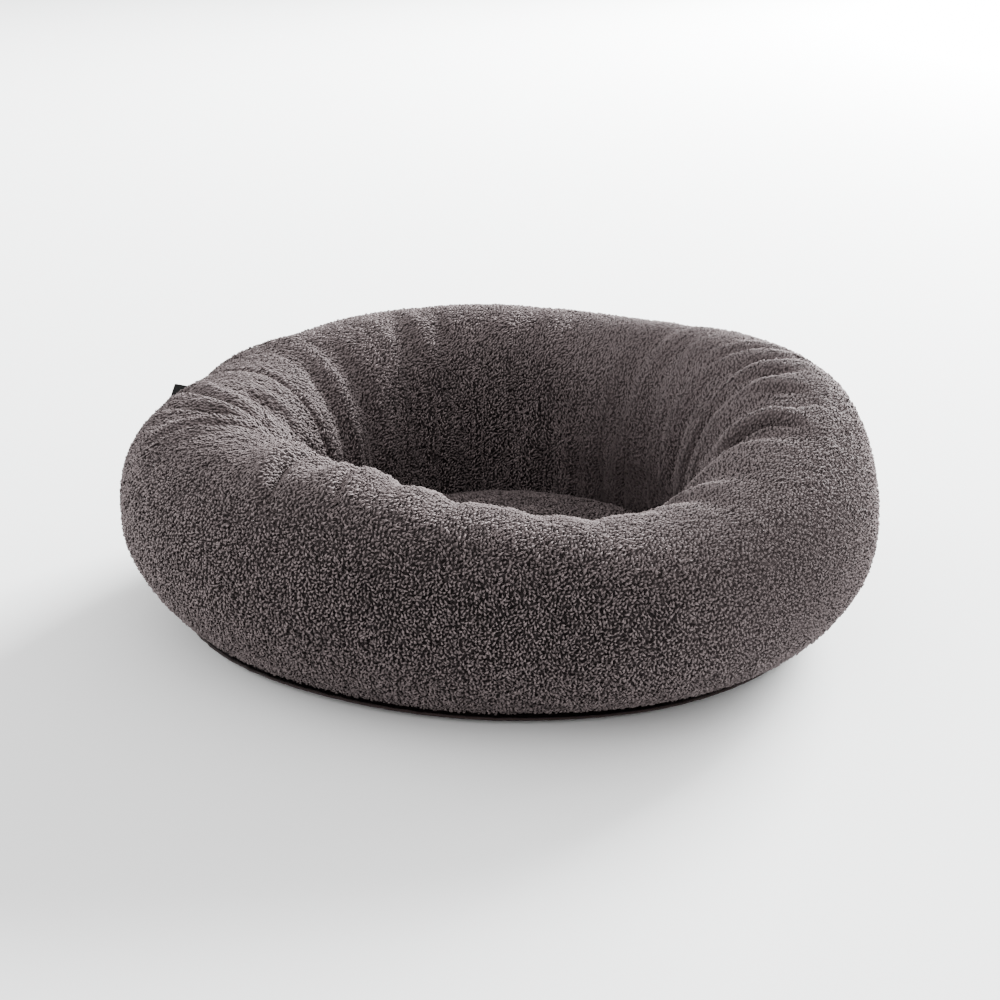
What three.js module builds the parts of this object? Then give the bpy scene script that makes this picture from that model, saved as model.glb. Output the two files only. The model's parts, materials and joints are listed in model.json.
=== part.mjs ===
// A round plush pet bed: a stuffed ring gathered round a sunken padded floor, on a dark base cloth,
// with a blank folded tape tab in the seam that closes the ring's sleeve.
// Millimetres, +Z up. The origin is the middle of the flat underside.
// Azimuth is in degrees from +X, and 90 is +Y, the back of the bed.
import * as THREE from "three";

// Driving dimensions
const SEWN_GAP = 0.3; // clearance between pieces that are sewn to each other
const BASE_CLOTH = 2; // thickness of the base cloth
const BASE_EDGE_RISE = 10; // how high the base cloth turns up round the ring's foot
const FOOT_INNER = 168; // radius at which the ring's inner side leaves the base cloth
const WIDEST_SHARE = 0.48; // height of the ring's widest line, as a share of its crest
const INNER_SHARE = 0.42; // the same for the line where it bulges furthest inwards
const OUTER_FULLNESS = 2.6; // superellipse exponents: 2 is an ellipse, more is fuller
const LOWER_FULLNESS = 1.6;
const INNER_FULLNESS = 2.0;
const FLOOR_SEAM_HEIGHT = 26; // where the floor pad is sewn to the ring
const FLOOR_CROWN = 46; // top of the floor pad
const FLOOR_FOOT = 128; // radius of the pad's flat underside
const CROWN_FLATNESS = 3; // exponents of the pad's crown: how wide its top is, and how round its edge
const CROWN_ROUNDNESS = 1.5;
const FLOOR_SIDE_SWELL = 4; // how far the pad's side swells out between its foot and its seam
const TAB_AZIMUTH = 159; // the ring's closing seam, which holds the tab
const TAB_PLACE = 0.33; // where on the section the tab sits, on the scale that FOLDS uses
const TAB_WIDTH = 20;
const TAB_LENGTH = 13;
const TAB_PLY = 0.7; // thickness of the tape
const TAB_FOLD_GAP = 0.8; // between its two plies

// Facets
const AZIMUTH_STEPS = 120;
const SECTION_STEPS = 26;
const CURVE_STEPS = 24; // points on each curve of a section before it is spaced out
const INNER_SLOPE_DENSITY = 1.5; // points per length on the gathered slope, where 1 is the outer side
const UNDERSIDE_DENSITY = 0.4;
const EDGE_STEP = 2; // every second point of the ring's lower curve shapes the base cloth's edge
const CROWN_SHARES = [0.93, 0.78, 0.45]; // radii of the pad's crown facets, as shares of its seam
const TAB_FOLD_SEGMENTS = 6;

// The ring's section every 30 degrees: radius of its outer side, radius and height of its crest,
// radius of its inner side, and radius of its foot on the base cloth. It is pressed down at the front.
const RING_ROWS = [
  { azimuth: 0, outer: 296, crest: 227, height: 187, inner: 148, foot: 242 },
  { azimuth: 30, outer: 296, crest: 225, height: 188, inner: 146, foot: 244 },
  { azimuth: 60, outer: 298, crest: 226, height: 181, inner: 147, foot: 246 },
  { azimuth: 90, outer: 300, crest: 227, height: 187, inner: 150, foot: 247 },
  { azimuth: 120, outer: 301, crest: 227, height: 187, inner: 149, foot: 249 },
  { azimuth: 150, outer: 297, crest: 225, height: 175, inner: 146, foot: 250 },
  { azimuth: 180, outer: 307, crest: 225, height: 174, inner: 147, foot: 252 },
  { azimuth: 210, outer: 300, crest: 222, height: 181, inner: 146, foot: 242 },
  { azimuth: 240, outer: 289, crest: 219, height: 179, inner: 144, foot: 234 },
  { azimuth: 270, outer: 291, crest: 226, height: 157, inner: 146, foot: 240 },
  { azimuth: 300, outer: 321, crest: 236, height: 145, inner: 150, foot: 245 },
  { azimuth: 330, outer: 312, crest: 229, height: 164, inner: 150, foot: 248 },
];

// The main gathers down the inner slope. Depth is into the ring, width is half of the fold's width
// in degrees, and lean is how far its outer end lies round from its inner end. From and to are
// places on the section: 0 is the outer widest line, 1 the crest, 2 the inner widest line and 3 the
// inner foot.
const FOLDS = [
  { azimuth: 8, lean: -6, depth: 7, width: 4.5, from: 0.8, to: 2.3 },
  { azimuth: 14, lean: -2, depth: 6, width: 4, from: 0.7, to: 2.2 },
  { azimuth: 20, lean: -3, depth: 5, width: 4, from: 0.9, to: 2.3 },
  { azimuth: 36, lean: 4, depth: 6, width: 5, from: 0.8, to: 2.4 },
  { azimuth: 52, lean: -5, depth: 7, width: 5, from: 0.75, to: 2.3 },
  { azimuth: 69, lean: 3, depth: 5, width: 4.5, from: 0.85, to: 2.4 },
  { azimuth: 84, lean: -3, depth: 7, width: 5, from: 0.8, to: 2.3 },
  { azimuth: 101, lean: 6, depth: 6, width: 5, from: 0.75, to: 2.4 },
  { azimuth: 118, lean: -4, depth: 7, width: 5, from: 0.8, to: 2.3 },
  { azimuth: 134, lean: 4, depth: 5, width: 4.5, from: 0.85, to: 2.3 },
  { azimuth: 150, lean: -5, depth: 6, width: 5, from: 0.8, to: 2.4 },
  { azimuth: 166, lean: 8, depth: 5, width: 4.5, from: 0.85, to: 2.3 },
  { azimuth: 186, lean: -16, depth: 6, width: 5, from: 1.05, to: 2.4 },
  { azimuth: 201, lean: -14, depth: 12, width: 6, from: 0.75, to: 2.3 },
  { azimuth: 209, lean: -6, depth: 7, width: 4, from: 0.8, to: 2.2 },
  { azimuth: 227, lean: 3, depth: 5, width: 4.5, from: 0.85, to: 2.4 },
  { azimuth: 243, lean: -14, depth: 9, width: 5, from: 0.62, to: 2.3 },
  { azimuth: 251, lean: -2, depth: 6, width: 4, from: 0.85, to: 2.3 },
  { azimuth: 261, lean: 0, depth: 6, width: 4.5, from: 0.85, to: 2.3 },
  { azimuth: 274, lean: 4, depth: 5, width: 4.5, from: 0.85, to: 2.4 },
  { azimuth: 290, lean: -3, depth: 5, width: 5, from: 0.8, to: 2.4 },
  { azimuth: 306, lean: 4, depth: 6, width: 5, from: 0.8, to: 2.3 },
  { azimuth: 322, lean: -3, depth: 5, width: 5, from: 0.85, to: 2.4 },
  { azimuth: 338, lean: 0, depth: 11, width: 5, from: 0.75, to: 2.4 },
  { azimuth: 342, lean: 11, depth: 6, width: 4, from: 0.55, to: 2.2 },
  { azimuth: 348, lean: 8, depth: 8, width: 4.5, from: 0.7, to: 2.3 },
];

const radians = THREE.MathUtils.degToRad;
const modulo = THREE.MathUtils.euclideanModulo;
const cloth = (color, roughness) => new THREE.MeshStandardMaterial({ color, roughness, metalness: 0 });
const PLUSH = cloth(0x6a6062, 0.95);
const BASE_WOVEN = cloth(0x2a2020, 0.85);
const TAPE = cloth(0x141214, 0.7);

// A column of RING_ROWS at any azimuth, on a smooth closed curve through the rows.
function ringSize(column, azimuth) {
  const count = RING_ROWS.length;
  const place = (azimuth / 360) * count;
  const row = Math.floor(place);
  const part = place - row;
  const size = (step) => RING_ROWS[modulo(row + step, count)][column];
  const [before, here, next, after] = [-1, 0, 1, 2].map(size);
  const slopeHere = (next - before) / 2;
  const slopeNext = (after - here) / 2;
  const drop = here - next;
  const square = -3 * drop - 2 * slopeHere - slopeNext;
  const cube = 2 * drop + slopeHere + slopeNext;
  return here + part * (slopeHere + part * (square + part * cube));
}

// A quarter of a superellipse in the section plane, upright at side and level at pole.
function quarter(side, pole, fullness, firstPlace, lastPlace) {
  const points = [];
  for (let step = 0; step <= CURVE_STEPS; step++) {
    const share = step / CURVE_STEPS;
    const turn = (share * Math.PI) / 2;
    const across = Math.pow(Math.max(Math.cos(turn), 0), 2 / fullness);
    const up = Math.pow(Math.sin(turn), 2 / fullness);
    points.push({
      r: pole.r + (side.r - pole.r) * across,
      z: side.z + (pole.z - side.z) * up,
      place: firstPlace + (lastPlace - firstPlace) * share,
    });
  }
  return points;
}

const RING_BOTTOM = BASE_CLOTH + SEWN_GAP;

// The ring's outer side below its widest line, from the foot up.
function lowerSide(azimuth) {
  const widest = { r: ringSize("outer", azimuth), z: WIDEST_SHARE * ringSize("height", azimuth) };
  const foot = { r: ringSize("foot", azimuth), z: RING_BOTTOM };
  return quarter(widest, foot, LOWER_FULLNESS, 0, -1).reverse();
}

// The ring's whole section at an azimuth without its folds, from the outer foot up and over.
function ringOutline(azimuth) {
  const height = ringSize("height", azimuth);
  const widest = { r: ringSize("outer", azimuth), z: WIDEST_SHARE * height };
  const crest = { r: ringSize("crest", azimuth), z: height };
  const inner = { r: ringSize("inner", azimuth), z: INNER_SHARE * height };
  const innerFoot = { r: FOOT_INNER, z: RING_BOTTOM };
  return [
    ...lowerSide(azimuth),
    ...quarter(widest, crest, OUTER_FULLNESS, 0, 1).slice(1),
    ...quarter(inner, crest, INNER_FULLNESS, 2, 1).reverse().slice(1),
    ...quarter(inner, innerFoot, LOWER_FULLNESS, 2, 3).slice(1),
    { r: ringSize("foot", azimuth), z: RING_BOTTOM, place: 4 },
  ];
}

// How many points per length a stretch of the section gets.
function density(place) {
  if (place > 3) return UNDERSIDE_DENSITY;
  return place > 0.7 && place < 2.6 ? INNER_SLOPE_DENSITY : 1;
}

// The outline at a given number of points, closed and evenly spaced but for density.
function spaced(outline, count) {
  const run = [0];
  for (let i = 1; i < outline.length; i++) {
    const [a, b] = [outline[i - 1], outline[i]];
    run.push(run[i - 1] + Math.hypot(b.r - a.r, b.z - a.z) * density((a.place + b.place) / 2));
  }
  const points = [];
  for (let step = 0, i = 1; step < count; step++) {
    const wanted = (step / count) * run[run.length - 1];
    while (run[i] < wanted) i++;
    const part = (wanted - run[i - 1]) / (run[i] - run[i - 1]);
    const between = (key) => outline[i - 1][key] + part * (outline[i][key] - outline[i - 1][key]);
    points.push({ r: between("r"), z: between("z"), place: between("place") });
  }
  return points;
}

// How deep the folds press the ring in at a place on its section.
function foldDepth(azimuth, place) {
  let depth = 0;
  for (const fold of FOLDS) {
    const along = (place - fold.from) / (fold.to - fold.from);
    if (along <= 0 || along >= 1) continue;
    const middle = fold.azimuth + fold.lean * (1 - along);
    const off = Math.abs(modulo(azimuth - middle + 180, 360) - 180) / fold.width;
    if (off >= 1) continue;
    depth += fold.depth * Math.sin(Math.PI * along) * 0.5 * (1 + Math.cos(Math.PI * off));
  }
  return depth;
}

// The ring's section with its folds pressed in at right angles to the outline.
function ringSection(azimuth) {
  const points = spaced(ringOutline(azimuth), SECTION_STEPS);
  return points.map((point, i) => {
    const before = points[modulo(i - 1, points.length)];
    const after = points[(i + 1) % points.length];
    const length = Math.hypot(after.r - before.r, after.z - before.z);
    const depth = foldDepth(azimuth, point.place) / length;
    return {
      r: point.r - (after.z - before.z) * depth,
      z: point.z + (after.r - before.r) * depth,
      place: point.place,
    };
  });
}

// A closed solid through one section for each azimuth. Sections run anticlockwise with r to the
// right and z up. They close on themselves, or start and end on the axis.
function turned(sectionAt, onAxis) {
  const position = [];
  const index = [];
  let size = 0;
  const point = (r, z, azimuth) => {
    const turn = radians(azimuth);
    position.push(r * Math.cos(turn), r * Math.sin(turn), z);
  };
  for (let step = 0; step < AZIMUTH_STEPS; step++) {
    const azimuth = (step * 360) / AZIMUTH_STEPS;
    const section = sectionAt(azimuth);
    const inner = onAxis ? section.slice(1, -1) : section;
    size = inner.length;
    for (const { r, z } of inner) point(r, z, azimuth);
  }
  const at = (step, i) => (step % AZIMUTH_STEPS) * size + (i % size);
  for (let step = 0; step < AZIMUTH_STEPS; step++) {
    for (let i = 0; i < (onAxis ? size - 1 : size); i++) {
      index.push(at(step, i), at(step + 1, i), at(step + 1, i + 1));
      index.push(at(step, i), at(step + 1, i + 1), at(step, i + 1));
    }
  }
  if (onAxis) {
    const section = sectionAt(0);
    const bottom = AZIMUTH_STEPS * size;
    point(0, section[0].z, 0);
    point(0, section[section.length - 1].z, 0);
    for (let step = 0; step < AZIMUTH_STEPS; step++) {
      index.push(bottom, at(step + 1, 0), at(step, 0));
      index.push(bottom + 1, at(step, size - 1), at(step + 1, size - 1));
    }
  }
  const geometry = new THREE.BufferGeometry();
  geometry.setAttribute("position", new THREE.Float32BufferAttribute(position, 3));
  geometry.setIndex(index);
  geometry.computeVertexNormals();
  return geometry;
}

function named(name, geometry, material) {
  const mesh = new THREE.Mesh(geometry, material);
  mesh.name = name;
  return mesh;
}

function ringBolster() {
  return named("ring_bolster", turned(ringSection, false), PLUSH);
}

// Radius of the ring's inner side at a height, on its facets.
function innerRadius(azimuth, height) {
  const side = ringSection(azimuth).filter((point) => point.place > 1 && point.place < 3.5);
  const i = side.findIndex((point) => point.z < height);
  const [above, below] = [side[i - 1], side[i]];
  return above.r + ((below.r - above.r) * (above.z - height)) / (above.z - below.z);
}

// The pad's flat underside, its side that swells out to the seam, and its crown.
function floorPad() {
  const section = (azimuth) => {
    const seam = innerRadius(azimuth, FLOOR_SEAM_HEIGHT) - SEWN_GAP;
    const rise = FLOOR_CROWN - FLOOR_SEAM_HEIGHT;
    return [
      { r: 0, z: RING_BOTTOM },
      { r: FLOOR_FOOT, z: RING_BOTTOM },
      { r: (FLOOR_FOOT + seam) / 2 + FLOOR_SIDE_SWELL, z: (RING_BOTTOM + FLOOR_SEAM_HEIGHT) / 2 },
      { r: seam, z: FLOOR_SEAM_HEIGHT },
      ...CROWN_SHARES.map((share) => ({
        r: seam * share,
        z: FLOOR_SEAM_HEIGHT + rise * Math.pow(1 - Math.pow(share, CROWN_FLATNESS), 1 / CROWN_ROUNDNESS),
      })),
      { r: 0, z: FLOOR_CROWN },
    ];
  };
  return named("floor_pad", turned(section, true), PLUSH);
}

// The ring's lower side pushed outwards by an offset, from the foot up to the base cloth's edge.
function aroundFoot(azimuth, offset) {
  const side = lowerSide(azimuth);
  const points = [];
  for (let i = 1; i < side.length && side[i].z < BASE_EDGE_RISE; i += EDGE_STEP) {
    const [before, after] = [side[i - 1], side[i + 1]];
    const length = Math.hypot(after.r - before.r, after.z - before.z);
    points.push({
      r: side[i].r + ((after.z - before.z) * offset) / length,
      z: side[i].z - ((after.r - before.r) * offset) / length,
    });
  }
  return points;
}

// The base cloth, flat under the ring and turned up round its foot. All sections have as many points.
function basePanel() {
  let count = Infinity;
  for (let step = 0; step < AZIMUTH_STEPS; step++) {
    count = Math.min(count, aroundFoot((step * 360) / AZIMUTH_STEPS, 0).length);
  }
  const section = (azimuth) => [
    { r: 0, z: 0 },
    { r: ringSize("foot", azimuth), z: 0 },
    ...aroundFoot(azimuth, SEWN_GAP + BASE_CLOTH).slice(0, count),
    ...aroundFoot(azimuth, SEWN_GAP).slice(0, count).reverse(),
    { r: ringSize("foot", azimuth), z: BASE_CLOTH },
    { r: 0, z: BASE_CLOTH },
  ];
  return named("base_panel", turned(section, true), BASE_WOVEN);
}

// A folded tape with its two ends against the sleeve's seam and its fold standing off.
function labelTab() {
  const half = TAB_FOLD_GAP / 2;
  const outline = new THREE.Shape();
  outline.moveTo(0, -half - TAB_PLY);
  outline.lineTo(TAB_LENGTH - half - TAB_PLY, -half - TAB_PLY);
  outline.absarc(TAB_LENGTH - half - TAB_PLY, 0, half + TAB_PLY, -Math.PI / 2, Math.PI / 2, false);
  outline.lineTo(0, half + TAB_PLY);
  outline.lineTo(0, half);
  outline.lineTo(TAB_LENGTH - half - TAB_PLY, half);
  outline.absarc(TAB_LENGTH - half - TAB_PLY, 0, half, Math.PI / 2, -Math.PI / 2, true);
  outline.lineTo(0, -half);
  outline.closePath();
  const extent = { depth: TAB_WIDTH, bevelEnabled: false, curveSegments: TAB_FOLD_SEGMENTS };
  const geometry = new THREE.ExtrudeGeometry(outline, extent);
  geometry.translate(SEWN_GAP, 0, -TAB_WIDTH / 2);

  const side = ringSection(TAB_AZIMUTH);
  const i = side.findIndex((point) => point.place >= TAB_PLACE);
  const [below, above] = [side[i - 1], side[i]];
  const part = (TAB_PLACE - below.place) / (above.place - below.place);
  const [rise, spread] = [above.z - below.z, above.r - below.r];
  const turn = radians(TAB_AZIMUTH);
  const out = new THREE.Vector3(Math.cos(turn), Math.sin(turn), 0);
  const up = new THREE.Vector3(0, 0, 1);
  const along = out.clone().multiplyScalar(spread).addScaledVector(up, rise).normalize();
  const round = new THREE.Vector3().crossVectors(up, out);
  const off = new THREE.Vector3().crossVectors(round, along);
  const mesh = named("label_tab", geometry, TAPE);
  mesh.setRotationFromMatrix(new THREE.Matrix4().makeBasis(off, round, along));
  mesh.position.copy(out.multiplyScalar(below.r + spread * part).addScaledVector(up, below.z + rise * part));
  return mesh;
}

const bed = new THREE.Group();
bed.add(ringBolster(), floorPad(), basePanel(), labelTab());

export default bed;
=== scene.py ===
import json
import math

import bmesh
import bpy
import numpy as np
from mathutils import Matrix, Vector

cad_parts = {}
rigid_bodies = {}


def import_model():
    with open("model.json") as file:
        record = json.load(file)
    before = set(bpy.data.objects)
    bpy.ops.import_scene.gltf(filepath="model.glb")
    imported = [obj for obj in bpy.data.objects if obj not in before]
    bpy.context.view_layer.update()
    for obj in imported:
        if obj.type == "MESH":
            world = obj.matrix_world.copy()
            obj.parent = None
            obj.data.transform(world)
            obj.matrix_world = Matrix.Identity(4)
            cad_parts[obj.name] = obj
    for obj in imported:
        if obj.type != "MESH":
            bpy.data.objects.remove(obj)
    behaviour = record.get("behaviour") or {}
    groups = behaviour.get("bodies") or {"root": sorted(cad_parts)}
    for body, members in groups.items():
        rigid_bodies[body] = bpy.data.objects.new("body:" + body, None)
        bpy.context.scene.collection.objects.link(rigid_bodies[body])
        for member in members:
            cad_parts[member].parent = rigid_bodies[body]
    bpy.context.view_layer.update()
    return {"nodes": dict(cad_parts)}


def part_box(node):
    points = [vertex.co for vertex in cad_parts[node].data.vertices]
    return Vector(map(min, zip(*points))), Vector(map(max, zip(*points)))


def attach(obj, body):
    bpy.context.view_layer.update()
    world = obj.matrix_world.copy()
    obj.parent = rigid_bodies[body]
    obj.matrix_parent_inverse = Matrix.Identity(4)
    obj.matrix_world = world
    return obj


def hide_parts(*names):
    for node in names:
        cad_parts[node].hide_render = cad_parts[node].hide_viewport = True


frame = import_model()

bl_info = {
    "name": "Plush ring bed",
    "version": (1, 0, 0),
    "blender": (4, 5, 0),
    "location": "3D View > Sidebar > Bed",
    "description": "Makes a plush ring bed round its packed solids",
    "category": "Object",
}

MM = 0.001
SEAM_AZIMUTH = 159.0  # degrees, where the ring's sleeve is closed and holds the tab
SEAM_GAP = 0.2 * MM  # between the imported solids' faces and the covers where two are sewn
LOWEST = 2.6 * MM  # height of the covers' undersides, clear of the base cloth

# Grids over the ring: steps round the bed and points round the section
TRIAL_ROUNDS = 240
TRIAL_POINTS = 84
RING_ROUNDS = 600
RING_POINTS = 100

# Shares of the way round the ring's section, from its outer foot over the crest and back underneath
OUTER_FOOT = 0.03
GATHERED_FROM = 0.36
GATHERED_TO = 0.88

# Where the ring's pile changes
OUTER_PILE_FOOT = 11 * MM  # heights where it ends outside and inside the ring
INNER_PILE_FOOT = 27 * MM
COMBED = (0.27, 0.38)  # shares of the section over which it goes from curly to combed, and partly back
CURLY_AGAIN = (0.52, 0.67)
SOFT_AND_LIT_RIGHT = (85, 45)  # degrees from the right side over which the pile turns soft and painted light pales its roots and ground, on the right and on the left
SOFT_AND_LIT_LEFT = (105, 150)
INWARD_NAP = (192, 28)  # middle and width in degrees of the stretch where the nap turns inwards
INWARD_TURN = math.radians(70)
# The floor's pile all over: how soft it is, and how much painted light pales its roots and ground.
FLOOR_SOFT_AND_LIT = 0.45

LOCK_MAP = "OFBake"  # the locks' own map, under the name that the export keeps
UV_GRID = 8  # steps of tone across the pile's map, and of softness up it
CURLY_LOCKS = 12  # shapes of lock
COMBED_LOCKS = 6
CURLY_BEND = (0.6, 1.5)  # least and most turn in a lock, in radians
COMBED_BEND = (0.05, 0.5)
LOCK_SIDES = 3
RING_PILES = 5  # pieces that the ring's pile is cut into

# Creases over the crest: depth and half width in millimetres, then azimuths and shares of the section along
# the line of each. A negative depth is a swell.
FOLD_STEPS = 48
FOLDS = [
    (4.0, 4.5, [(24.0, 0.52), (22.0, 0.47), (21.0, 0.42), (17.5, 0.37)]),
    (4.5, 4.5, [(15.5, 0.53), (14.0, 0.48), (12.3, 0.42), (13.5, 0.36)]),
    (3.5, 4.0, [(6.5, 0.53), (5.0, 0.48), (4.0, 0.42), (6.0, 0.37)]),
    (4.5, 4.5, [(358.5, 0.56), (357.5, 0.51), (355.5, 0.46), (355.0, 0.41)]),
    (3.0, 3.5, [(345.5, 0.54), (346.3, 0.48), (347.5, 0.43), (350.5, 0.38)]),
    (11.0, 4.0, [(338.5, 0.60), (340.3, 0.52), (341.0, 0.47), (340.6, 0.42)]),
    (3.5, 3.0, [(338.5, 0.33), (344.4, 0.32), (348.5, 0.30)]),
    (-7.5, 18.0, [(136.0, 0.42), (144.0, 0.36), (150.0, 0.31), (154.0, 0.25)]),
    (-2.0, 20.0, [(350.0, 0.27), (357.0, 0.30), (4.0, 0.31), (12.0, 0.32)]),
    (8.0, 4.5, [(169.0, 0.33), (173.0, 0.38), (178.0, 0.43), (183.0, 0.48), (187.0, 0.55)]),
    (6.0, 3.5, [(179.5, 0.34), (185.0, 0.40), (188.5, 0.45), (191.0, 0.52)]),
    (10.0, 5.0, [(195.0, 0.31), (198.0, 0.38), (200.5, 0.44), (201.0, 0.55)]),
    (12.0, 5.0, [(232.5, 0.31), (230.0, 0.37), (228.0, 0.43), (226.0, 0.50), (225.0, 0.58)]),
    (5.5, 3.0, [(244.0, 0.32), (242.5, 0.37), (240.5, 0.44), (239.0, 0.54)]),
]


# Finishes and node trees


class Value:
    """A socket of a node tree, with the arithmetic that the finishes use."""

    def __init__(self, tree, socket):
        self.tree = tree
        self.socket = socket

    def math(self, operation, *values):
        return self.tree.node("ShaderNodeMath", {"operation": operation}, dict(enumerate(values)))[0]

    def __add__(self, other):
        return self.math("ADD", self, other)

    __radd__ = __add__

    def __sub__(self, other):
        return self.math("SUBTRACT", self, other)

    def __rsub__(self, other):
        return self.math("SUBTRACT", other, self)

    def __mul__(self, other):
        return self.math("MULTIPLY", self, other)

    __rmul__ = __mul__

    def __truediv__(self, other):
        return self.math("DIVIDE", self, other)

    def __rtruediv__(self, other):
        return self.math("DIVIDE", other, self)

    def floor(self):
        return self.math("FLOOR", self)

    def fract(self):
        return self.math("FRACT", self)

    def clamped(self):
        return self.tree.node("ShaderNodeClamp", {}, {"Value": self})[0]


class Tree:
    """Adds nodes to a shader or geometry node tree."""

    def __init__(self, tree):
        self.tree = tree
        self.tree.nodes.clear()

    def node(self, kind, settings=None, values=None):
        made = self.tree.nodes.new(kind)
        for name, setting in (settings or {}).items():
            setattr(made, name, setting)
        for name, value in (values or {}).items():
            socket = made.inputs[name]
            if isinstance(value, Value):
                self.tree.links.new(value.socket, socket)
            else:
                socket.default_value = value
        return Outputs(self, made)


class Outputs:
    """The outputs of one node, by number or name."""

    def __init__(self, tree, made):
        self.tree = tree
        self.made = made

    def __getitem__(self, key):
        return Value(self.tree, self.made.outputs[key])


def finish(name, build):
    """A material whose shader takes the socket values that build returns."""
    material = bpy.data.materials.new(name)
    material.use_nodes = True
    tree = Tree(material.node_tree)
    shader = tree.node("ShaderNodeBsdfPrincipled", {}, build(tree))
    tree.node("ShaderNodeOutputMaterial", {}, {"Surface": shader["BSDF"]})
    return material


def mixed(tree, share, first, second):
    """A blend of two colours."""
    settings = {"data_type": "RGBA"}
    return tree.node("ShaderNodeMix", settings, {0: share, 6: first, 7: second})[2]


def scaled(tree, color, light):
    """A colour times a number."""
    return tree.node("ShaderNodeVectorMath", {"operation": "SCALE"}, {0: color, "Scale": light})[0]


def bumped(tree, height, distance, strength=1.0):
    """The surface's normal with a relief laid over it."""
    values = {"Height": height, "Distance": distance, "Strength": strength}
    return tree.node("ShaderNodeBump", {}, values)["Normal"]


def noise(tree, place, scale, detail=2.0):
    """A soft random pattern, about 0.5 on average."""
    values = {"Vector": place, "Scale": scale, "Detail": detail}
    return tree.node("ShaderNodeTexNoise", {}, values)["Fac"]


def eased(tree, normal, share):
    """A lock's normal turned by a share towards that of the cloth it grows on."""
    ground = tree.node("ShaderNodeAttribute", {"attribute_name": "ground"})["Vector"]
    settings = {"vector_type": "NORMAL", "convert_from": "OBJECT", "convert_to": "WORLD"}
    world = tree.node("ShaderNodeVectorTransform", settings, {0: ground})[0]
    between = tree.node("ShaderNodeMix", {"data_type": "VECTOR"}, {0: share, 4: normal, 5: world})[1]
    return tree.node("ShaderNodeVectorMath", {"operation": "NORMALIZE"}, {0: between})[0]


def pile_finish(name, pile):
    """Each lock has its own cell of the map: across it runs round the lock, up it from root to tip.

    The cell's column is the lock's tone, and its row how soft the pile is there and how much painted light
    pales the lock's root.
    """

    def build(tree):
        spot = tree.node("ShaderNodeUVMap", {"uv_map": LOCK_MAP})["UV"]
        parts = tree.node("ShaderNodeSeparateXYZ", {}, {0: spot})
        across, up = parts[0] * UV_GRID, parts[1] * UV_GRID
        tone, soft = across.floor() / (UV_GRID - 1), up.floor() / (UV_GRID - 1)
        rise = up.fract()
        # Painted shade: each lock is darkened from its tip down to its root, where the pile's shadow falls.
        shade = tree.node(
            "ShaderNodeMapRange", {"interpolation_type": "SMOOTHSTEP"},
            {"Value": rise, "From Min": 0.1, "From Max": 0.75})[0]
        streak_place = tree.node("ShaderNodeCombineXYZ", {}, {0: across * 9.0, 1: up * 2.0})[0]
        streaks = noise(tree, streak_place, 1.0, 3.0)
        # Painted light: where the pile is soft the roots are paler, as if light reached down into it.
        lit_root_color = [0.72 * c for c in pile.tip_color]
        deep = mixed(tree, soft, (*pile.root_shade_color, 1), (*lit_root_color, 1))
        tint = mixed(tree, shade, deep, (*pile.tip_color, 1))
        crisp = 1.0 - 0.88 * soft
        light = 0.98 - 0.08 * soft + (0.95 * (tone - 0.45) + 0.5 * (streaks - 0.45)) * crisp
        return {
            "Base Color": scaled(tree, tint, light),
            "Roughness": 0.75 + 0.2 * streaks,
            "Normal": eased(tree, bumped(tree, streaks * crisp, 0.0003, 0.6), 0.93 * soft),
            "Sheen Weight": pile.sheen,
            "Sheen Roughness": 0.5,
            "Sheen Tint": (*pile.tip_color, 1),
            "Specular IOR Level": 0.12,
        }

    return finish(name, build)


def skin_finish(name, pile):
    """The short pile between the locks: fine curls that run every way."""

    def build(tree):
        place = tree.node("ShaderNodeTexCoord")["Object"]
        swirl = noise(tree, place, 125.0, 1.0) * (2 * math.pi * 4.0)
        fine = noise(tree, place, 430.0)
        rise = (0.5 + 0.38 * swirl.math("SINE", swirl) + 1.5 * (fine - 0.5)).clamped()
        patch = noise(tree, place, 30.0)
        # Painted light: the ground is lighter towards the top of the ring, where the light falls, and darker
        # low down and inside.
        height = tree.node("ShaderNodeSeparateXYZ", {}, {0: place})[2]
        crest = ((height - 0.11) / 0.06).clamped()
        # Painted light: the ground is paler and lighter where the pile is soft.
        soft = tree.node("ShaderNodeAttribute", {"attribute_name": "soft"})["Fac"]
        # Painted shade: the ground takes the dark root colour in the hollows of its curls.
        pale = (rise + 0.2 * crest + 0.4 * soft).clamped()
        tint = mixed(tree, pale, (*pile.root_shade_color, 1), (*pile.skin_color, 1))
        light = (0.85 + 0.3 * patch) * (0.4 + 0.6 * crest + soft)
        return {
            "Base Color": scaled(tree, tint, light),
            "Roughness": 0.85 + 0.1 * fine,
            "Normal": bumped(tree, rise * (1.0 - 0.6 * soft), 0.0018),
            "Sheen Weight": pile.sheen,
            "Sheen Roughness": 0.5,
            "Sheen Tint": (*pile.tip_color, 1),
            "Specular IOR Level": 0.08,
        }

    return finish(name, build)


def woven_finish(name, color, pitch, relief):
    """A plain weave on the piece's own coordinates."""

    def build(tree):
        place = tree.node("ShaderNodeTexCoord")["Object"]
        turn = 2 * math.pi / pitch
        parts = tree.node("ShaderNodeSeparateXYZ", {}, {0: place})
        warp = (parts[0] * turn).math("SINE", parts[0] * turn)
        weft = (parts[1] * turn).math("SINE", parts[1] * turn)
        over = warp * weft * 0.5 + 0.5
        patch = noise(tree, place, 25.0)
        slub = noise(tree, place, 900.0)
        light = 0.7 + 0.35 * over + 0.5 * (patch - 0.5) + 0.3 * (slub - 0.5)
        return {
            "Base Color": scaled(tree, tuple(color), light),
            "Roughness": 0.8 + 0.15 * patch,
            "Normal": bumped(tree, over + 0.4 * slub, relief),
            "Specular IOR Level": 0.25,
        }

    return finish(name, build)


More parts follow.
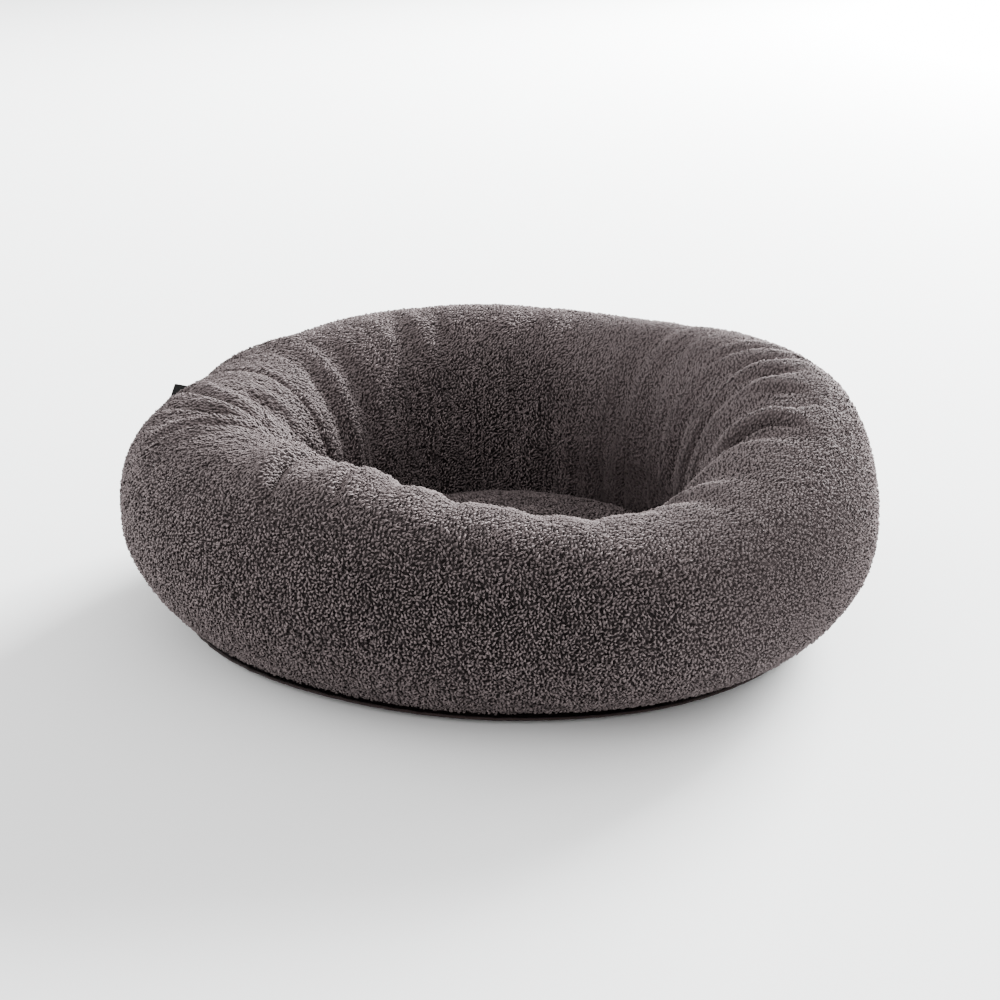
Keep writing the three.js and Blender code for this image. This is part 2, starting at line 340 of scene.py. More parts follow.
def plain_finish(name, color):
    """A matt paint that is very nearly one colour."""

    def build(tree):
        place = tree.node("ShaderNodeTexCoord")["Object"]
        grain = noise(tree, place, 3.0)
        tint = mixed(tree, grain, (*[c * 0.99 for c in color], 1), (*color, 1))
        return {"Base Color": tint, "Roughness": 0.9, "Specular IOR Level": 0.1}

    return finish(name, build)


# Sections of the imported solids, and surfaces through them


def sections(node):
    """A turned node's sections at rest, as an array of azimuth step, point and (radius, height)."""
    mesh = bmesh.new()
    mesh.from_mesh(frame["nodes"][node].data)
    bmesh.ops.remove_doubles(mesh, verts=mesh.verts, dist=1e-6)
    groups = {}
    for corner in mesh.verts:
        radius = math.hypot(corner.co.x, corner.co.y)
        if radius > MM:
            azimuth = math.degrees(math.atan2(corner.co.y, corner.co.x)) % 360
            groups.setdefault(round(azimuth, 1) % 360, []).append(corner)
    found = []
    for azimuth in sorted(groups):
        group = set(groups[azimuth])
        near = {c: [e.other_vert(c) for e in c.link_edges if e.other_vert(c) in group] for c in group}
        ends = [c for c in group if len(near[c]) == 1]
        radius = lambda c: math.hypot(c.co.x, c.co.y)
        if ends:
            here = min(ends, key=lambda c: c.co.z)
        else:
            floor = min(c.co.z for c in group)
            here = max((c for c in group if c.co.z < floor + 1e-5), key=radius)
        chain = [here]
        while len(chain) < len(group):
            steps = [c for c in near[here] if c not in chain]
            here = max(steps, key=lambda c: c.co.z) if len(chain) == 1 else steps[0]
            chain.append(here)
        found.append([(radius(c), c.co.z) for c in chain])
    mesh.free()
    return np.array(found)


def through(values, count, axis, closed=True):
    """Values resampled to count on smooth curves through them along an axis."""
    values = np.moveaxis(values, axis, 0)
    size = len(values)
    place = np.arange(count) * (size / count if closed else (size - 1) / (count - 1))
    low = np.minimum(np.floor(place).astype(int), size - 1 if closed else size - 2)
    part = (place - low).reshape(-1, *[1] * (values.ndim - 1))
    pick = (lambda i: values[i % size]) if closed else (lambda i: values[np.clip(i, 0, size - 1)])
    before, here, after, beyond = pick(low - 1), pick(low), pick(low + 1), pick(low + 2)
    curve = here + 0.5 * part * (
        after - before
        + part * (2 * before - 5 * here + 4 * after - beyond
                  + part * (3 * (here - after) + beyond - before))
    )
    return np.moveaxis(curve, 0, axis)


def placed(rz):
    """Points in space of an array of sections spread evenly round the axis."""
    turn = np.linspace(0, 2 * np.pi, len(rz), endpoint=False)[:, None]
    radius, height = rz[..., 0], rz[..., 1]
    return np.stack([radius * np.cos(turn), radius * np.sin(turn), height], -1)


def grid_faces(rounds, points, closed):
    """Quads between neighbouring sections, pointing outwards for sections that run anticlockwise."""
    a = np.arange(rounds)[:, None]
    b = np.arange(points if closed else points - 1)[None]
    at = lambda i, j: (i % rounds) * points + j % points
    return np.stack([at(a, b), at(a + 1, b), at(a + 1, b + 1), at(a, b + 1)], -1).reshape(-1, 4)


def capped(grid, low, high):
    """Points and faces of an open grid whose first and last rows are closed by fans to two middle points."""
    rounds, points = grid.shape[:2]
    faces = grid_faces(rounds, points, False).tolist()
    first, last = rounds * points, rounds * points + 1
    for i in range(rounds):
        j = (i + 1) % rounds
        faces.append([first, j * points, i * points])
        faces.append([last, i * points + points - 1, j * points + points - 1])
    return np.vstack([grid.reshape(-1, 3), [0, 0, low], [0, 0, high]]), faces


def normals(grid, closed=True):
    """Outward normals of a grid of points."""
    round_step = np.roll(grid, -1, 0) - np.roll(grid, 1, 0)
    if closed:
        along_step = np.roll(grid, -1, 1) - np.roll(grid, 1, 1)
    else:
        along_step = np.gradient(grid, axis=1)
    n = np.cross(round_step, along_step)
    return n / np.maximum(np.linalg.norm(n, axis=-1, keepdims=True), 1e-12)


def mesh_object(name, points, faces, *materials):
    """A smooth mesh in the scene, as an object at the origin."""
    mesh = bpy.data.meshes.new(name)
    mesh.from_pydata(np.asarray(points).reshape(-1, 3).tolist(), [], [list(f) for f in faces])
    mesh.update()
    mesh.shade_smooth()
    for material in materials:
        mesh.materials.append(material)
    piece = bpy.data.objects.new(name, mesh)
    bpy.context.scene.collection.objects.link(piece)
    return piece


def corners(piece):
    """The points of a piece's mesh."""
    found = np.empty(len(piece.data.vertices) * 3, np.float32)
    piece.data.vertices.foreach_get("co", found)
    return found.reshape(-1, 3).astype(float)


def set_corners(piece, points):
    """Moves the points of a piece's mesh."""
    piece.data.vertices.foreach_set("co", np.asarray(points, np.float32).ravel())
    piece.data.update()


def mark(piece, name, values):
    """Stores a number at each corner, for the pile and the finishes to read."""
    layer = piece.data.attributes.new(name, "FLOAT", "POINT")
    layer.data.foreach_set("value", np.asarray(values, np.float32).ravel())


def puffed(piece, held, pressure, slack, reach, frames=20):
    """Where air pressure and a little slack bring a closed cloth, no point further than reach."""
    start = corners(piece)
    group = piece.vertex_groups.new(name="held")
    group.add([int(i) for i in np.flatnonzero(held)], 1.0, "REPLACE")
    cloth = piece.modifiers.new("puff", "CLOTH")
    rules = cloth.settings
    rules.quality = 5
    rules.mass = 0.3
    rules.tension_stiffness = rules.compression_stiffness = 15
    rules.shear_stiffness = 5
    rules.bending_stiffness = 0.4
    rules.use_pressure = True
    rules.uniform_pressure_force = pressure
    rules.effector_weights.gravity = 0
    rules.vertex_group_mass = group.name
    rules.shrink_min = -slack
    scene = bpy.context.scene
    for step in range(1, frames + 1):
        scene.frame_set(step)
    made = piece.evaluated_get(bpy.context.evaluated_depsgraph_get())
    end = np.empty(len(start) * 3, np.float32)
    made.data.vertices.foreach_get("co", end)
    piece.modifiers.remove(cloth)
    piece.vertex_groups.remove(group)
    scene.frame_set(1)
    moved = end.reshape(-1, 3) - start
    length = np.linalg.norm(moved, axis=1, keepdims=True)
    return start + moved * (reach * np.tanh(length / reach) / np.maximum(length, 1e-9))


# Sizes and colours


class RingSizes(bpy.types.PropertyGroup):
    pressure: bpy.props.FloatProperty(
        name="Pressure", description="Air pressure that rounds the stuffed ring", default=4.0, min=0)
    slack: bpy.props.FloatProperty(
        name="Slack", description="Share by which the cover is cut larger than its filling",
        default=0.02, min=0, max=0.2, subtype="FACTOR")
    reach: bpy.props.FloatProperty(
        name="Reach", description="How far the pressure may move the cover",
        default=0.006, min=0, unit="LENGTH")
    gathers: bpy.props.IntProperty(
        name="Gathers", description="Gathers round the inner seam", default=46, min=8)
    gather_depth: bpy.props.FloatProperty(
        name="Gather depth", description="Depth of the fine gathers at the inner seam",
        default=0.006, min=0, unit="LENGTH")
    seam_depth: bpy.props.FloatProperty(
        name="Seam depth", description="Depth of the groove where the sleeve is closed",
        default=0.003, min=0, unit="LENGTH")


class PileSizes(bpy.types.PropertyGroup):
    depth: bpy.props.FloatProperty(
        name="Pile depth", description="Height of the pile over its ground cloth",
        default=0.003, min=0.001, unit="LENGTH")
    spacing: bpy.props.FloatProperty(
        name="Spacing", description="Least distance between two locks",
        default=0.0019, min=0.001, unit="LENGTH")
    length: bpy.props.FloatProperty(
        name="Lock length", description="Length of a curly lock of pile",
        default=0.0046, min=0.001, unit="LENGTH")
    combed_length: bpy.props.FloatProperty(
        name="Combed length", description="Length of a lock where the pile is combed over the crest",
        default=0.0062, min=0.001, unit="LENGTH")
    width: bpy.props.FloatProperty(
        name="Lock width", description="Thickness of a lock of pile",
        default=0.0019, min=0.0005, unit="LENGTH")
    nap: bpy.props.FloatProperty(
        name="Nap", description="Azimuth that the pile is brushed towards",
        default=math.radians(60), subtype="ANGLE")
    lay: bpy.props.FloatProperty(
        name="Lay size", description="Size of the patches in which the locks lie one way",
        default=0.018, min=0.001, unit="LENGTH")
    scatter: bpy.props.FloatProperty(
        name="Scatter", description="How far a lock turns from its patch's way",
        default=0.9, min=0, subtype="ANGLE")
    sheen: bpy.props.FloatProperty(
        name="Sheen", description="Soft light along the pile's edges", default=0.5, min=0, max=1)
    # The root colour is painted shade: the dark of the shadow deep in the pile, not the fibres' own colour.
    root_shade_color: bpy.props.FloatVectorProperty(
        name="Root colour", description="Colour deep in the pile",
        default=(0.006, 0.0042, 0.0043), subtype="COLOR")
    skin_color: bpy.props.FloatVectorProperty(
        name="Ground colour", description="Colour of the short pile between the locks",
        default=(0.057, 0.0455, 0.046), subtype="COLOR")
    tip_color: bpy.props.FloatVectorProperty(
        name="Tip colour", description="Colour of the pile's tips",
        default=(0.144, 0.116, 0.1165), subtype="COLOR")
    seed: bpy.props.IntProperty(name="Seed", description="Seed of the scatter of the locks", default=7)


class ClothSizes(bpy.types.PropertyGroup):
    base_color: bpy.props.FloatVectorProperty(
        name="Base colour", description="Colour of the base cloth",
        default=(0.022, 0.013, 0.013), subtype="COLOR")
    tape_color: bpy.props.FloatVectorProperty(
        name="Tape colour", description="Colour of the blank tab",
        default=(0.0022, 0.002, 0.0022), subtype="COLOR")
    tape_ply: bpy.props.FloatProperty(
        name="Tape thickness", description="Thickness of one ply of the folded tape",
        default=0.0006, min=0.0002, unit="LENGTH")
    tab_lift: bpy.props.FloatProperty(
        name="Tab lift", description="How far the tab sits up along the closing seam",
        default=0.003, unit="LENGTH")
    tab_slant: bpy.props.FloatProperty(
        name="Tab slant", description="Drop of the tab's end for each unit that it stands out", default=0.3)
    pucker: bpy.props.FloatProperty(
        name="Pucker", description="Waviness of the base cloth's sewn edge",
        default=0.0004, min=0, unit="LENGTH")


class StageSizes(bpy.types.PropertyGroup):
    elevation: bpy.props.FloatProperty(
        name="Elevation", description="Camera's angle above the floor",
        default=math.radians(20), subtype="ANGLE")
    distance: bpy.props.FloatProperty(
        name="Distance", description="From the camera to the middle of the bed", default=1.6, unit="LENGTH")
    lens: bpy.props.FloatProperty(name="Lens", description="Focal length in millimetres", default=70.1)
    aim_height: bpy.props.FloatProperty(
        name="Aim height", description="Height of the point that the camera looks at",
        default=0.08, unit="LENGTH")
    shift: bpy.props.FloatProperty(
        name="Shift", description="Sideways shift of the picture, as a share of its width", default=-0.0017)
    roll: bpy.props.FloatProperty(
        name="Roll", description="Camera's tilt sideways", default=math.radians(0.8), subtype="ANGLE")
    floor_color: bpy.props.FloatVectorProperty(
        name="Floor colour", description="Colour of the floor", default=(0.8, 0.8, 0.8), subtype="COLOR")
    surround: bpy.props.FloatProperty(
        name="Surround", description="Strength of the even light from all round", default=1.9, min=0)


# The pieces


def smooth(x):
    """From 0 to 1 with x, eased at both ends."""
    x = np.clip(x, 0, 1)
    return x * x * (3 - 2 * x)


def ramp(x, ends):
    """From 0 at the first of two ends to 1 at the second, eased at both."""
    start, end = ends
    return smooth((x - start) / (end - start))


def gather_relief(rounds, points, sizes):
    """How deep the gathers of the floor seam press into the ring, over a grid of its surface."""
    rng = np.random.default_rng(3)
    azimuth = np.linspace(0, 360, rounds, endpoint=False)[:, None]
    along = (np.arange(points) / points)[None]
    rise = np.clip((along - GATHERED_FROM) / (GATHERED_TO - GATHERED_FROM), 0, 1)
    end = smooth((0.93 - along) / 0.05)  # they die out just under the floor seam
    pitch = 360 / sizes.gathers
    relief = np.zeros((rounds, points))
    for i in range(sizes.gathers):
        middle = (i + rng.uniform(-0.3, 0.3)) * pitch
        depth = sizes.gather_depth * rng.uniform(0.6, 1.2)
        start = rng.uniform(0.0, 0.4)
        lean, sway = rng.uniform(-7, 7), rng.uniform(-1.5, 1.5)
        width = pitch * rng.uniform(0.26, 0.4)
        off = (azimuth - middle - lean * (1 - rise) - sway * np.sin(6 * rise) + 180) % 360 - 180
        fade = smooth((rise - start) / (0.9 - start)) ** 0.8 * end
        crease = np.exp(-np.abs(off / width) ** 1.4)
        relief += depth * fade * crease
    return relief - 0.5 * relief.mean(0)


def on_grid(grid, azimuth, share):
    """Points of a closed grid at azimuths and shares of its sections."""
    rounds, points = grid.shape[:2]
    x, y = np.asarray(azimuth) / 360 * rounds, np.asarray(share) * points
    i, j = np.floor(x).astype(int), np.floor(y).astype(int)
    u, v = (x - i)[:, None], (y - j)[:, None]
    at = lambda a, b: grid[(i + a) % rounds, (j + b) % points]
    return (at(0, 0) * (1 - u) + at(1, 0) * u) * (1 - v) + (at(0, 1) * (1 - u) + at(1, 1) * u) * v


def fold_relief(grid):
    """How deep the folds over the crest press in, with a soft lobe on either side of each."""
    relief = np.zeros(grid.shape[:2])
    for depth, width, line in FOLDS:
        line = np.array(line)
        line[:, 0] = np.degrees(np.unwrap(np.radians(line[:, 0])))
        way = through(line, FOLD_STEPS, 0, closed=False)
        spine = on_grid(grid, way[:, 0], way[:, 1])
        best = np.full(grid.shape[:2], np.inf)
        at = np.zeros(grid.shape[:2])
        for k, spot in enumerate(spine):
            gap = np.linalg.norm(grid - spot, axis=-1)
            at = np.where(gap < best, k / (FOLD_STEPS - 1), at)
            best = np.minimum(gap, best)
        fade = np.sin(np.pi * np.clip(0.08 + 0.84 * at, 0, 1)) ** 0.7
        gap = best / (width * MM)
        # A crease has its lobes 2.6 half widths out, and a swell has none
        lobes = 0.4 * np.exp(-(((gap - 2.6) / 1.4) ** 2)) if depth > 0 else 0.0
        relief += depth * MM * fade * (np.exp(-(gap**1.3)) - lobes)
    return relief


def ring_surface(sizes, pile):
    """The stuffed ring's ground cloth as a grid of points, a pile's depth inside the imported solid."""
    grid = placed(through(through(sections("ring_bolster"), TRIAL_ROUNDS, 0), TRIAL_POINTS, 1))
    along = np.arange(TRIAL_POINTS) / TRIAL_POINTS
    covered = smooth((GATHERED_TO - along) / 0.08) + smooth((along - 0.96) / 0.04)
    grid = grid - normals(grid) * (SEAM_GAP + (pile.depth + 0.4 * sizes.reach) * covered[:, None])
    if sizes.pressure > 0:
        held = np.broadcast_to((along < OUTER_FOOT) | (along > GATHERED_TO), grid.shape[:2])
        trial = mesh_object("trial", grid, grid_faces(TRIAL_ROUNDS, TRIAL_POINTS, True))
        moved = puffed(trial, held.ravel(), sizes.pressure, sizes.slack, sizes.reach).reshape(grid.shape)
        bpy.data.objects.remove(trial)
        ease = smooth((along - OUTER_FOOT) / 0.17) * smooth((GATHERED_TO - along) / 0.12)
        # The cover stays on the solid near the closing seam, where the tab is
        apart = (np.linspace(0, 360, TRIAL_ROUNDS, endpoint=False) - SEAM_AZIMUTH) / 7
        grid = grid + (moved - grid) * (ease * (1 - 0.85 * np.exp(-(apart[:, None] ** 2))))[..., None]
    grid = through(through(grid, RING_ROUNDS, 0), RING_POINTS, 1)
    relief = gather_relief(RING_ROUNDS, RING_POINTS, sizes) + fold_relief(grid)
    azimuth = np.linspace(0, 360, RING_ROUNDS, endpoint=False)[:, None]
    along = (np.arange(RING_POINTS) / RING_POINTS)[None]
    groove = np.exp(-(((azimuth - SEAM_AZIMUTH) / 0.9) ** 2)) * (along > 0.04) * (along < GATHERED_TO)
    grid = grid - normals(grid) * (relief + sizes.seam_depth * groove)[..., None]
    grid[..., 2] = np.maximum(grid[..., 2], LOWEST)
    return grid


def pile_marks(grid, nap):
    """Where the pile grows on the ring's grid, how combed it is, how soft it is and how much painted light
    pales it there, and its lay.
    """
    rounds, points = grid.shape[:2]
    along = np.broadcast_to(np.arange(points) / points, (rounds, points))
    azimuth = np.linspace(0, 360, rounds, endpoint=False)[:, None]
    from_right = np.abs((azimuth + 180) % 360 - 180)
    hairy = grid[..., 2] > np.where(along < 0.5, OUTER_PILE_FOOT, INNER_PILE_FOOT)
    combed = ramp(along, COMBED) * (1 - 0.6 * ramp(along, CURLY_AGAIN))
    # Painted light: this also pales roots and ground, most on the right side, where the light falls.
    soft = ramp(from_right, SOFT_AND_LIT_RIGHT) + 0.3 * ramp(from_right, SOFT_AND_LIT_LEFT) + 0.25 * combed
    middle, width = INWARD_NAP
    inwards = np.exp(-(((azimuth - middle) / width) ** 2))
    lay = nap - INWARD_TURN * inwards * np.ones(points)
    return {"hairy": hairy, "combed": combed, "soft": np.clip(soft, 0, 1), "nap": lay}


def declare(piece, slot, *nodes):
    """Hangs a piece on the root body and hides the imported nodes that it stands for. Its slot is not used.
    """
    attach(piece, "root")
    if nodes:
        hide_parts(*nodes)


class BED_OT_ring(bpy.types.Operator):
    """Makes the stuffed ring's ground cloth"""

    bl_idname = "bed.ring"
    bl_label = "Stuffed ring"

    def execute(self, context):
        sizes, pile = context.scene.bed_ring, context.scene.bed_pile
        grid = ring_surface(sizes, pile)
        faces = grid_faces(RING_ROUNDS, RING_POINTS, True)
        piece = mesh_object("ring_cover", grid, faces, skin_finish("ring_ground", pile))
        for name, values in pile_marks(grid, pile.nap).items():
            mark(piece, name, values)
        declare(piece, "plush", "ring_bolster")
        return {"FINISHED"}


class BED_OT_floor(bpy.types.Operator):
    """Makes the padded floor's ground cloth"""

    bl_idname = "bed.floor_pad"
    bl_label = "Padded floor"

    def execute(self, context):
        sizes, pile = context.scene.bed_ring, context.scene.bed_pile
        rz = through(sections("floor_pad"), 160, 0)
        side, seam = rz[:, :2], rz[:, 2]
        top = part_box("floor_pad")[1][2]
        # Rows of the crowned top, from the seam to near the middle
        shares = np.linspace(1, 0, 28)[:-1]
        rise = (1 - shares**3) ** (1 / 1.5)
        over = np.stack([
            seam[:, None, 0] * shares,
            seam[:, None, 1] + (top - seam[:, None, 1]) * rise], -1)
        rows = np.concatenate([side[:, :1] * [0.5, 1], side, over], 1)
        grid = placed(rows)
        covered = smooth((np.arange(rows.shape[1]) - 3) / 5)
        grid = grid - normals(grid, False) * (SEAM_GAP + pile.depth * covered[:, None])
        rounds, points = grid.shape[:2]
        flat, faces = capped(grid, rows[0, 0, 1], top - pile.depth)
        flat[:, 2] = np.maximum(flat[:, 2], LOWEST)
        place = np.append(np.broadcast_to(np.arange(points), (rounds, points)).ravel(), [0, points])
        piece = mesh_object("floor_cover", flat, faces, skin_finish("floor_ground", pile))
        if sizes.pressure > 0:
            moved = puffed(piece, place < 5, sizes.pressure, sizes.slack, sizes.reach)
            set_corners(piece, moved)
        mark(piece, "hairy", place >= 3)
        mark(piece, "soft", np.full(len(place), FLOOR_SOFT_AND_LIT))
        declare(piece, "plush", "floor_pad")
        return {"FINISHED"}


def lock_mesh(name, rng, pile, combed, cell=1 / UV_GRID):
    """One lock of pile: it rises from its buried root to a bend and lies over to its tip."""
    bend = rng.choice([-1, 1]) * rng.uniform(*(COMBED_BEND if combed else CURLY_BEND))
    length = pile.combed_length if combed else pile.length
    first = length * rng.uniform(0.42, 0.55)
    last = length - first
    flat = np.cumsum([
        [0, 0],
        [first * math.cos(bend / 2), -first * math.sin(bend / 2)],
        [last * math.cos(bend / 2), last * math.sin(bend / 2)]], 0)
    flat -= flat.mean(0)
    tall = pile.depth * rng.uniform(0.8, 1.15) * (0.9 if combed else 1.0)
    spine = np.column_stack([flat, tall * np.array([-0.15, 0.85, 0.55])])
    way = spine[2] - spine[0]
    way /= np.linalg.norm(way)
    side = np.cross(way, [0, 0, 1])
    side /= np.linalg.norm(side)
    up = np.cross(side, way)
    radius = pile.width / 2 * rng.uniform(0.9, 1.1)
    points = [spine[0]]
    for k in range(LOCK_SIDES):
        angle = 2 * math.pi * (k + 0.25) / LOCK_SIDES
        points.append(spine[1] + radius * (math.cos(angle) * side + math.sin(angle) * up))
    points.append(spine[2])
    faces, places = [], []
    margin = 0.06

    def spot(across, along):
        return [cell * (margin + (1 - 2 * margin) * x) for x in (across / LOCK_SIDES, along)]

    for k in range(LOCK_SIDES):
        after = (k + 1) % LOCK_SIDES
        faces += [(0, 1 + after, 1 + k), (1 + k, 1 + after, 1 + LOCK_SIDES)]
        places += [spot(k + 0.5, 0), spot(k + 1, 0.5), spot(k, 0.5)]
        places += [spot(k, 0.5), spot(k + 1, 0.5), spot(k + 0.5, 1)]
    mesh = bpy.data.meshes.new(name)
    mesh.from_pydata([tuple(p) for p in points], [], faces)
    mesh.shade_smooth()
    layer = mesh.uv_layers.new(name=LOCK_MAP)
    layer.data.foreach_set("uv", np.array(places, np.float32).ravel())
    return mesh


def pile_tree():
    """Scatters locks of pile over a ground cloth, between two azimuths."""
    group = bpy.data.node_groups.new("pile", "GeometryNodeTree")
    sockets = [
        ("Ground", "NodeSocketGeometry"), ("Locks", "NodeSocketCollection"),
        ("Finish", "NodeSocketMaterial"), ("Spacing", "NodeSocketFloat"),
        ("Lay size", "NodeSocketFloat"), ("Scatter", "NodeSocketFloat"),
        ("From", "NodeSocketFloat"), ("To", "NodeSocketFloat"), ("Seed", "NodeSocketInt"),
    ]
    for name, kind in sockets:
        group.interface.new_socket(name, in_out="INPUT", socket_type=kind)
    group.interface.new_socket("Pile", in_out="OUTPUT", socket_type="NodeSocketGeometry")
    tree = Tree(group)
    given = tree.node("NodeGroupInput")

    def chance(low, high, seed):
        values = {2: low, 3: high, "Seed": given["Seed"] + seed}
        return tree.node("FunctionNodeRandomValue", {"data_type": "FLOAT"}, values)[1]

    def marking(name, kind="FLOAT"):
        return tree.node("GeometryNodeInputNamedAttribute", {"data_type": kind}, {"Name": name})[0]

    def stored(geometry, name, value, kind="FLOAT_VECTOR", domain="POINT"):
        settings = {"data_type": kind, "domain": domain}
        values = {"Geometry": geometry, "Name": name, "Value": value}
        return tree.node("GeometryNodeStoreNamedAttribute", settings, values)[0]

    hairy = marking("hairy")
    spacing = given["Spacing"]
    spread = tree.node(
        "GeometryNodeDistributePointsOnFaces", {"distribute_method": "POISSON"},
        {"Mesh": given["Ground"], "Selection": hairy.math("GREATER_THAN", hairy, 0.5),
         "Distance Min": spacing, "Density Max": 6.0 / (spacing * spacing), "Seed": given["Seed"]})
    place = tree.node("GeometryNodeInputPosition")[0]
    parts = tree.node("ShaderNodeSeparateXYZ", {}, {0: place})
    azimuth = parts[1].math("ARCTAN2", parts[1], parts[0])
    before = azimuth.math("LESS_THAN", azimuth, given["From"])
    beyond = azimuth.math("GREATER_THAN", azimuth, given["To"])
    kept = tree.node(
        "GeometryNodeDeleteGeometry", {"domain": "POINT"},
        {"Geometry": spread["Points"], "Selection": before + beyond})[0]

    # A lock stands on the cloth, turned from the nap by its patch and by chance, less where it is combed
    combed = marking("combed")
    wild = 1.0 - 0.65 * combed
    patch = noise(tree, place, 1.0 / given["Lay size"], 1.0)
    turn = marking("nap") + (patch - 0.5) * 4.5 * wild + chance(-1.0, 1.0, 1) * given["Scatter"] * wild
    upright = tree.node("FunctionNodeAlignRotationToVector", {"axis": "Z"}, {"Vector": spread["Normal"]})[0]
    twist = tree.node("FunctionNodeAxisAngleToRotation", {}, {"Axis": (0, 0, 1), "Angle": turn})[0]
    turned = tree.node("FunctionNodeRotateRotation", {"rotation_space": "LOCAL"}, {0: upright, 1: twist})[0]
    tilt = chance(-0.3, 0.3, 2) * (1.0 - 0.5 * combed)
    nod = tree.node("FunctionNodeAxisAngleToRotation", {}, {"Axis": (0, 1, 0), "Angle": tilt})[0]
    turned = tree.node("FunctionNodeRotateRotation", {"rotation_space": "LOCAL"}, {0: turned, 1: nod})[0]

    # Its cell of the map says its tone, and how soft it looks with the painted light that pales its root
    blotch = noise(tree, place, 22.0)
    chosen = chance(0.0, 0.7, 3) * (1.0 - 0.5 * combed)
    # Painted light: combed locks over the crest get a lighter tone, so the crest looks lit.
    tone = ((blotch - 0.5) * 0.5 + chosen + 0.3 * combed).clamped() * (UV_GRID - 0.01)
    soft = (marking("soft") + chance(-0.07, 0.07, 8)).clamped() * (UV_GRID - 0.01)
    cell = tree.node("ShaderNodeCombineXYZ", {}, {0: tone.floor() / UV_GRID, 1: soft.floor() / UV_GRID})[0]
    marked = stored(stored(kept, "cell", cell), "ground", spread["Normal"])

    # Where the pile is combed, a lock is more often one of the straighter shapes
    locks = tree.node(
        "GeometryNodeCollectionInfo", {},
        {"Collection": given["Locks"], "Separate Children": True, "Reset Children": True})[0]
    straight = combed.math("GREATER_THAN", combed, chance(0.0, 1.0, 6))
    shape = (chance(0.0, CURLY_LOCKS - 0.01, 4) * (1.0 - straight)
             + (CURLY_LOCKS + chance(0.0, COMBED_LOCKS - 0.01, 7)) * straight)
    set_out = tree.node("GeometryNodeInstanceOnPoints", {}, {
        "Points": marked, "Instance": locks, "Pick Instance": True, "Instance Index": shape.floor(),
        "Rotation": turned, "Scale": chance(0.8, 1.2, 5)})[0]
    real = tree.node("GeometryNodeRealizeInstances", {}, {0: set_out})[0]

    # All locks share one map, so each is moved to its cell
    moved = {0: marking(LOCK_MAP, "FLOAT_VECTOR"), 1: marking("cell", "FLOAT_VECTOR")}
    mapped = tree.node("ShaderNodeVectorMath", {"operation": "ADD"}, moved)[0]
    laid = stored(real, LOCK_MAP, mapped, "FLOAT2", "CORNER")
    clean = tree.node("GeometryNodeRemoveAttribute", {}, {"Geometry": laid, "Name": "cell"})[0]
    done = tree.node("GeometryNodeSetMaterial", {}, {"Geometry": clean, "Material": given["Finish"]})[0]
    tree.node("NodeGroupOutput", {}, {0: done})
    return group


def grown(name, ground, tree, values):
    """The mesh that a geometry node tree makes on a piece, as an object of its own."""
    modifier = ground.modifiers.new(name, "NODES")
    modifier.node_group = tree
    for item in tree.interface.items_tree:
        if item.in_out == "INPUT" and item.name in values:
            modifier[item.identifier] = values[item.name]
    graph = bpy.context.evaluated_depsgraph_get()
    mesh = bpy.data.meshes.new_from_object(
        ground.evaluated_get(graph), preserve_all_data_layers=True, depsgraph=graph)
    ground.modifiers.remove(modifier)
    mesh.name = name
    piece = bpy.data.objects.new(name, mesh)
    bpy.context.scene.collection.objects.link(piece)
    return piece


class BED_OT_pile(bpy.types.Operator):
    """Grows the curly pile on the ring and the floor"""

    bl_idname = "bed.pile"
    bl_label = "Curly pile"

    def execute(self, context):
        pile = context.scene.bed_pile
        rng = np.random.default_rng(pile.seed)
        locks = bpy.data.collections.new("locks")
        for i in range(CURLY_LOCKS + COMBED_LOCKS):
            name = f"lock_{i:02d}"
            lock = lock_mesh(name, rng, pile, i >= CURLY_LOCKS)
            locks.objects.link(bpy.data.objects.new(name, lock))
        tree = pile_tree()
        coat = pile_finish("curly_pile", pile)
        values = {"Locks": locks, "Finish": coat, "Spacing": pile.spacing, "Lay size": pile.lay,
                  "Scatter": pile.scatter, "Seed": pile.seed}
        edges = np.linspace(-math.pi, math.pi, RING_PILES + 1)
        for i in range(RING_PILES):
            sector = {"From": float(edges[i]) - (i == 0), "To": float(edges[i + 1]) + (i == RING_PILES - 1)}
            piece = grown(f"ring_pile_{i + 1}", bpy.data.objects["ring_cover"], tree, values | sector)
            declare(piece, "plush")
        whole = {"From": -4.0, "To": 4.0}
        piece = grown("floor_pile", bpy.data.objects["floor_cover"], tree, values | whole)
        declare(piece, "plush")
        for item in list(locks.objects):
            bpy.data.objects.remove(item)
        bpy.data.collections.remove(locks)
        return {"FINISHED"}


